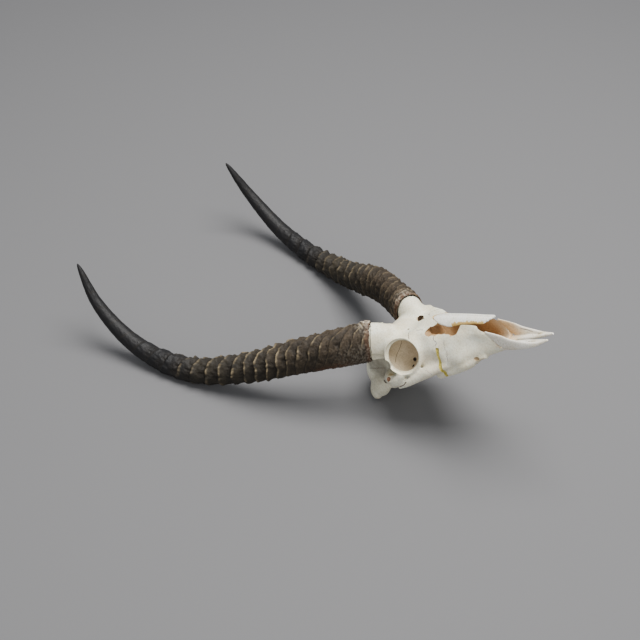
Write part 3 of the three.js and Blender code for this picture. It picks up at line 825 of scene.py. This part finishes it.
def nasal(side):
    plate = bone_loft([
        (-142, 1.4, 1.4, 67.6, 70.2),
        (-138, 5.7, 5.7, 66.8, 70.2),
        (-130, 10.4, 10.4, 65.6, 69.2),
        (-120, 11.9, 11.9, 63.6, 66.8),
        (-112, 11.6, 11.6, 61.2, 64.3),
        (-100, 10.4, 10.4, 57.4, 60.4),
        (-82, 9.3, 9.3, 51.4, 54.2),
        (-70, 9.1, 9.1, 47.6, 49.8),
        (-49, 7.6, 7.6, 41.6, 43.0),
    ], 5, 64, 12)
    for vertex in plate.data.vertices:
        arch = 16 + 9 * max(0, min(1, (-118 - vertex.co.x) / 14))
        vertex.co.z -= vertex.co.y**2 / arch
    # part the plate along the midline, and break its front off in a jagged slanting line
    select_only(plate)
    bpy.ops.object.mode_set(mode="EDIT")
    bpy.ops.mesh.select_all(action="SELECT")
    keep = 1 if side == "left" else -1
    bpy.ops.mesh.bisect(
        plane_co=(0, 0.2 * keep, 0), plane_no=(0, keep, 0), use_fill=True, clear_inner=True
    )
    bpy.ops.object.mode_set(mode="OBJECT")
    for vertex in plate.data.vertices:
        y = abs(vertex.co.y)
        jag = noise.noise((y * 0.9, 7.0 * keep, 0)) * 2.2
        end = -54.5 - 1.9 * max(0, y - 1.5) + jag
        if vertex.co.x > end:
            vertex.co.z += (vertex.co.x - end) * 0.33
            vertex.co.x = end
    apply_modifier(plate, "REMESH", mode="VOXEL", voxel_size=NASAL_VOXEL)
    apply_modifier(plate, "SMOOTH", factor=0.5, iterations=3)
    # dried fibres still fill the joint with the cheek bone, so the edge is golden there
    plate.data.materials.append(nasal_bone)
    plate.data.materials.append(dried_fibre)
    for face in plate.data.polygons:
        x, y, _ = face.center
        edge = np.interp(x, (-112, -100, -82, -70), (11.6, 10.4, 9.3, 9.1))
        frayed = 1.7 + 1.6 * noise.noise((x * 0.35, keep, 3.0))
        if -112 < x < -68 and abs(y) > edge - frayed:
            face.material_index = 1
    plate.name = f"nasal_bone_{side}"
    return plate


for side in ("left", "right"):
    finish_bone(nasal(side), f"nasal_{side}", nasal_bone)

# ------------------------------------------------------------------ premaxillae
# The two foremost bones: a thin blade on each side of the nose with a shelf towards the midline,
# joined to the cheek by an open seam. Thin, cream bone that ends in two separate tips.

PREMAXILLA_VOXEL = 0.6
front_bone = bone_material(
    "bone_front", (0.90, 0.87, 0.80), (0.82, 0.76, 0.64), (0.5, 0.4, 0.26),
    stains_and_shade=[
        ((-18, 8, 2), 8, 0.5, (0.60, 0.50, 0.24), "both"),
        ((-62, 3, 10), 16, 0.95, (0.70, 0.50, 0.29), "both"),  # floor of the nose
        ((-53, 3, 8), 13, 0.75, (0.74, 0.56, 0.36), "both"),
    ],
    inward=(0.70, 0.50, 0.29),
)


def premaxilla(side):
    blade = bone_loft([
        (-59.8, 1.6, 1.5, 12, 36.8),
        (-50, 1.7, 1.6, 5, 25.5),
        (-42, 1.9, 1.7, 3, 18),
        (-31, 2.2, 1.9, 0.5, 11.5),
        (-15, 2.5, 2.2, -1.8, 4),
        (0, 1.4, 1.4, -1.4, 1),
    ], 2.6, 24)
    for vertex in blade.data.vertices:
        x, _, z = vertex.co
        vertex.co.y += 14.2 - 7.6 * max(0, 1 + x / 46) ** 2
        vertex.co.x -= SEAM_SLANT * max(0, min(1, (x + 70) / -11 + 2)) * slant_share(z)
    shelf = bone_bar([(-48, 3.6, 8), (-32, 4, 5), (-16, 6.2, 2), (-4, 7.4, 0.2)], [2.2, 2.4, 2.4, 2])
    palate = bone_loft([
        (-61, 7, 7, 6.5, 11.5),
        (-50, 6.6, 6.6, 4.4, 9),
        (-38, 6, 6, 3, 7.4),
        (-29, 4.6, 4.6, 2.4, 5.6),
        (-24, 2.6, 2.6, 2.2, 4.4),
    ], 3, 32)
    for vertex in palate.data.vertices:
        vertex.co.y += 7.8
    piece = join([blade, shelf, palate])
    if side == "right":
        mirror_to_right(piece.data)
    apply_modifier(piece, "REMESH", mode="VOXEL", voxel_size=PREMAXILLA_VOXEL)
    apply_modifier(piece, "SMOOTH", factor=0.5, iterations=3)
    hand = 1 if side == "left" else -1
    slit = [(-44, 9 * hand, 17), (-34, 8.5 * hand, 11.5), (-24, 7.5 * hand, 5.5)]
    piece.data.materials.append(front_bone)
    cut(piece, seam(piece, seam_brown, slit, 0.5, 0.2, 40.0), tangled=True)
    piece.name = f"premaxilla_bone_{side}"
    return piece


for side in ("left", "right"):
    finish_bone(premaxilla(side), f"premaxilla_{side}", front_bone)

# ------------------------------------------------------------------ horn sheaths
# Hollow cones of keratin that sit on the bony cores. They grew ring by ring: each ridge rises slowly towards
# the tip and drops off at a pale worn crest, whose paleness is also a painted highlight, with painted shade
# in the hollows and painted shadow behind each crest. The rim is thin, frayed and stained.

RING_COUNT = 17
RING_PITCH = 12.9
RING_GROWTH = 0.29
RINGS_END = RING_PITCH * RING_COUNT + RING_GROWTH * RING_COUNT**2


# Rings stand further apart towards the tip. The whole part of this number is the ring.
def ring_number(s):
    grown = (np.sqrt(RING_PITCH**2 + 4 * RING_GROWTH * np.maximum(s, 0)) - RING_PITCH) / (2 * RING_GROWTH)
    return np.where(s < 0, s / RING_PITCH, grown)


def smooth_step(low, high, value):
    t = np.clip((value - low) / (high - low), 0, 1)
    return t * t * (3 - 2 * t)


def rough(points, scale, seed):
    flat = points.reshape(-1, 3) * scale + seed
    return np.array([noise.noise(p) for p in flat]).reshape(points.shape[:-1])


# How far down the side a ridge has run towards the tip, against the top edge of the horn.
def ridge_lean(s, angle, share):
    turned = np.degrees(angle - math.pi / 4) % 360
    upper = 13 + 15 * (1 - smooth_step(20, 200, s))
    lower = 5 + 19 * (1 - smooth_step(30, 240, s))
    back = smooth_step(206, 360, turned)
    down = upper * smooth_step(0, 105, turned) + lower * smooth_step(90, 200, turned)
    return share * (down - (upper + lower) * back)


INNER_ROWS = 24
INNER_DEPTH = 228


def sheath(side):
    around = 128
    rows = 500
    seed = 3.7 if side == "left" else 11.3
    angle = np.linspace(0, 2 * math.pi, around, endpoint=False)[None]
    ringed = np.linspace(0, 1, rows)[:, None] * (HORN_LENGTH - 0.3)
    rim = rim_place(RIMS[side], angle, -1.1)
    unit = np.stack(np.broadcast_arrays(np.cos(angle), np.sin(angle), 0 * ringed), -1)
    ragged = rough(unit[:1], 5, seed) * 1.2 + rough(unit[:1], 19, seed) * 0.7
    s = ringed + (rim + ragged) * np.maximum(0, 1 - ringed / RIM_BLEND)
    cell = np.stack(np.broadcast_arrays(np.cos(angle), np.sin(angle), ringed / 18), -1)
    number = ring_number(
        ringed - ridge_lean(ringed, angle, 0.4 if side == "left" else 1.0)
        + 6 + 3.4 * rough(cell, 1.1, seed) + 0.8 * rough(cell, 3.0, seed + 2)
    )
    phase = number % 1
    rise = np.where(phase < 0.8, (phase / 0.8) ** 1.5, 1 - smooth_step(0.8, 1.0, phase)) - 0.42
    # ridges stand high on top and along the middle, and are worn smooth below
    strong = 0.38 + 0.62 * smooth_step(-0.5, 0.35, np.cos(angle - math.radians(100)))
    degrees = np.degrees(angle)
    below = smooth_step(148, 182, degrees) * (1 - smooth_step(285, 320, degrees))
    strong = strong * (1 - 0.7 * below * (1 - smooth_step(95, 140, ringed)))
    grown = 2.0 + 3.0 * smooth_step(30, 120, ringed) - 2.2 * smooth_step(225, 285, ringed)
    fade = 1 - smooth_step(0.88 * RINGS_END, 1.18 * RINGS_END, ringed)
    on_ridge = np.stack(np.broadcast_arrays(np.cos(angle), np.sin(angle), np.floor(number) * 0.9), -1)
    knobs = 1 + 0.9 * rough(on_ridge, 2.6, seed + 5) + 0.5 * rough(on_ridge, 6.1, seed + 7)
    swelling = grown * rise * strong * fade * np.clip(knobs, 0.15, 1.7)
    crumpled = 0.45 + 0.55 * (1 - smooth_step(40, 200, ringed))
    ripple = np.sin(2 * math.pi * (4.3 * number + 1.2 * rough(cell, 2.7, seed + 4)))
    swelling = swelling + 0.55 * ripple * crumpled**1.5 * (0.15 + 0.85 * fade)
    swelling = swelling + 1.0 * rough(cell, 3.1, seed + 9) * (0.3 + 0.7 * fade)
    swelling = swelling + 0.55 * rough(cell, 9.0, seed + 12) * crumpled * (0.1 + 0.9 * fade)
    # torn layers lift off at the top of the rim
    top = np.exp(-(((np.degrees(angle) - 75) / 38) ** 2))
    torn = top * (1 - smooth_step(4, 20, ringed)) * (0.35 if side == "left" else 1.0)
    swelling = swelling + torn * (0.9 + 1.6 * np.abs(rough(cell, 7.3, seed + 15)))
    swelling = swelling - 0.9 * (1 - smooth_step(0, 3.5, ringed))
    outer = horn_points(s, angle, -swelling)
    # inside: from the thin rim back to the hollow around the core
    depth = np.linspace(0, 1, INNER_ROWS)[:, None] ** 1.6 * INNER_DEPTH
    inner_s = rim + ragged + depth
    wall = 1.2 + 3.0 * smooth_step(0, 16, depth)
    shrink = np.maximum(0.03, 1 - np.maximum(0, inner_s) / (INNER_DEPTH + 1)) ** 0.6
    inner = horn_points(inner_s, angle, wall, np.where(inner_s < 2, 1, shrink))
    piece = ring_skin(f"horn_{side}", np.concatenate([outer[::-1], inner], 0), fans=True)

    # What the colour follows: ridge number, way from the rim, stains of rust and pale fibre, and the
    # surface's height and crests, which carry painted shade in the hollows and painted highlight on the
    # crests.
    def outside(values):
        values = np.broadcast_to(values, outer.shape[:2])[::-1].reshape(-1)
        return np.concatenate([values, np.zeros(INNER_ROWS * around + 2)])

    rust = np.exp(-(((ringed - 52) / 26) ** 2) - ((degrees - 232) / 20) ** 2)
    rust = np.clip(rust * (1.1 + 1.8 * rough(cell, 5, seed + 20)), 0, 1)
    rust = np.maximum(rust, 0.9 * (1 - smooth_step(2.5, 7, ringed + 2 * rough(cell, 6, seed))))
    pale = np.clip(torn * (0.7 + 2.2 * rough(cell, 8.1, seed + 25)), 0, 1)
    scuffed = below * (1 - smooth_step(12, 60, ringed)) * np.clip(0.3 + 2 * rough(cell, 9, seed + 41), 0, 1)
    pale = np.maximum(pale, 0.3 * scuffed)
    # where the crests are pale: worn straw, which also stands in for the highlight on each crest
    crest = np.clip(0.5 + 1.5 * rough(on_ridge, 2.1, seed + 30) + 0.8 * rough(on_ridge, 7, seed), 0, 1)
    crest = crest * strong * (0.7 + 0.3 * smooth_step(60, 115, ringed) - 0.5 * smooth_step(195, 245, ringed))
    crest = crest * (0.5 if side == "left" else 1.0)
    straw = (1 - smooth_step(10, 26, ringed)) * (1.0 if side == "left" else 0.7 * top)
    straw = straw * np.clip(0.6 + 1.6 * rough(cell, 3.3, seed + 33), 0, 1)
    mesh = piece.data
    for label, values in (("ring", number), ("reach", ringed / 1000), ("rust", rust), ("pale", pale),
                          ("crest", crest), ("height", swelling), ("straw", straw)):
        layer = mesh.attributes.new(label, "FLOAT", "POINT")
        layer.data.foreach_set("value", outside(values).astype(np.float32))
    layer = mesh.attributes.new("fibre", "FLOAT_VECTOR", "POINT")
    fibre = [outside(values) for values in (np.cos(angle), np.sin(angle), ringed / 40)]
    layer.data.foreach_set("vector", np.stack(fibre, -1).astype(np.float32).reshape(-1))
    if side == "right":
        mirror_to_right(mesh)
    mesh.transform(Matrix.Scale(MM, 4))
    for vertex in mesh.vertices:
        vertex.co.z = max(0, vertex.co.z)
    return piece


def horn_material():
    material = bpy.data.materials.new("horn")
    material.use_nodes = True
    nodes, links = material.node_tree.nodes, material.node_tree.links
    shader = nodes["Principled BSDF"]

    def attribute(label, output="Fac"):
        node = nodes.new("ShaderNodeAttribute")
        node.attribute_name = label
        return node.outputs[output]

    def shares(value, start, end):
        return share_of(nodes, links, value, start, end)

    def times(first, second):
        return math_of(nodes, links, "MULTIPLY", first, second)

    place = nodes.new("ShaderNodeTexCoord").outputs["Object"]
    reach, fibre = attribute("reach"), attribute("fibre", "Vector")
    phase = math_of(nodes, links, "FRACT", attribute("ring"), 0.0)
    patches = noise_of(nodes, links, place, 60, 5)
    grain = noise_of(nodes, links, place, 620, 5, 0.7)
    streaks = noise_of(nodes, links, fibre, 14, 5, 0.6)
    # brown near the skull, olive in the middle, near black towards the tip
    brown = ramp_of(nodes, links, patches, [(0.3, (0.018, 0.013, 0.008)), (0.7, (0.064, 0.047, 0.029))])
    olive = ramp_of(nodes, links, patches, [(0.3, (0.012, 0.010, 0.007)), (0.7, (0.036, 0.029, 0.018))])
    black = ramp_of(nodes, links, grain, [(0.3, (0.004, 0.004, 0.005)), (0.75, (0.011, 0.011, 0.012))])
    colour = mix_colours(nodes, links, shares(reach, 0.05, 0.17), brown, olive)
    colour = mix_colours(nodes, links, shares(reach, 0.21, 0.29), colour, black)
    # painted shade: hollows between ridges are darker than their backs, the deeper the darker
    low = shares(attribute("height"), 0.4, -1.6)
    colour = mix_colours(nodes, links, times(low, 0.62), colour, (0.012, 0.009, 0.006))
    # pale flecks, most of them near the skull
    fleck = times(shares(grain, 0.60, 0.72), shares(reach, 0.16, 0.02))
    colour = mix_colours(nodes, links, times(fleck, 0.55), colour, (0.24, 0.19, 0.13))
    # the worn edge of each ridge is straw coloured, which also serves as a painted highlight on the crest,
    # and the step behind it is painted dark as its shadow
    edge = times(shares(phase, 0.62, 0.79), shares(phase, 0.88, 0.82))
    edge = times(times(edge, attribute("crest")), shares(reach, 0.285, 0.25))
    colour = mix_colours(nodes, links, times(edge, 0.85), colour, (0.27, 0.215, 0.13))
    # painted shadow in the step behind each crest
    step = times(shares(phase, 0.84, 0.89), shares(phase, 1.0, 0.94))
    colour = mix_colours(nodes, links, times(step, 0.7), colour, (0.012, 0.010, 0.008))
    # thin straw rings beside the rim
    growth = nodes.new("ShaderNodeMath")
    growth.operation = "SINE"
    waver = math_of(nodes, links, "MULTIPLY", patches, 4.0)
    links.new(math_of(nodes, links, "ADD", times(reach, 1500), waver), growth.inputs[0])
    line = times(shares(growth.outputs[0], 0.0, 0.9), attribute("straw"))
    colour = mix_colours(nodes, links, times(line, 0.75), colour, (0.27, 0.21, 0.135))
    rust = attribute("rust")
    colour = mix_colours(nodes, links, times(rust, 0.7), colour, (0.105, 0.050, 0.026))
    colour = mix_colours(nodes, links, attribute("pale"), colour, (0.46, 0.41, 0.33))
    light = ramp_of(nodes, links, streaks, [(0.35, (0.70, 0.70, 0.70)), (0.7, (1.3, 1.25, 1.2))])
    colour = mix_colours(nodes, links, 1.0, colour, light, "MULTIPLY")
    links.new(colour, shader.inputs["Base Color"])
    shine = ramp_of(nodes, links, reach, [(0.22, (0.68, 0.68, 0.68)), (0.34, (0.52, 0.52, 0.52))])
    links.new(shine, shader.inputs["Roughness"])
    shader.inputs["Specular IOR Level"].default_value = 0.32
    rubbed = times(grain, shares(reach, 0.34, 0.12))
    bumped(nodes, links, shader, [(streaks, 0.35, 0.0010), (rubbed, 0.5, 0.0008)])
    return material


horn = horn_material()
for side in ("left", "right"):
    piece = sheath(side)
    piece.data.materials.append(horn)
    select_only(piece)
    bpy.ops.object.shade_smooth()
    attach(piece, "root")
    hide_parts(f"horn_sheath_{side}")

# ------------------------------------------------------------------ floor, light and camera
# A plain mid grey floor under one broad soft lamp overhead, and a camera that looks down on the skull.

deselect_all()
bpy.ops.mesh.primitive_plane_add(size=14)
floor = bpy.context.object
floor.name = "floor"
floor_paint = bpy.data.materials.new("floor")
floor_paint.use_nodes = True
paint = floor_paint.node_tree.nodes["Principled BSDF"]
paint.inputs["Base Color"].default_value = (0.158, 0.158, 0.163, 1)
paint.inputs["Roughness"].default_value = 0.9
floor.data.materials.append(floor_paint)

world = bpy.data.worlds.new("room")
bpy.context.scene.world = world
world.use_nodes = True
world.node_tree.nodes["Background"].inputs["Color"].default_value = (0.93, 0.96, 1.0, 1)
world.node_tree.nodes["Background"].inputs["Strength"].default_value = 0.42


def soft_lamp(name, place, target, size, watts, colour):
    lamp = bpy.data.lights.new(name, "AREA")
    lamp.shape = "SQUARE"
    lamp.size = size
    lamp.energy = watts
    lamp.color = colour
    holder = bpy.data.objects.new(name, lamp)
    holder.location = place
    holder.rotation_euler = (Vector(target) - Vector(place)).to_track_quat("-Z", "Y").to_euler()
    bpy.context.collection.objects.link(holder)


soft_lamp("overhead", (0.3, 0.25, 2.2), (0, 0, 0), 1.4, 98, (1.0, 0.985, 0.96))
soft_lamp("front_fill", (1.6, -1.8, 1.6), (0, 0, 0.1), 2.0, 20, (1.0, 0.99, 0.97))

eye = bpy.data.cameras.new("camera")
eye.sensor_width = 36
eye.lens = 67.5
camera = bpy.data.objects.new("camera", eye)
camera.location = (0.7043, -0.9562, 1.0808)
camera.rotation_euler = Vector((-0.458, 0.607, -0.650)).to_track_quat("-Z", "Y").to_euler()
bpy.context.collection.objects.link(camera)
bpy.context.scene.camera = camera
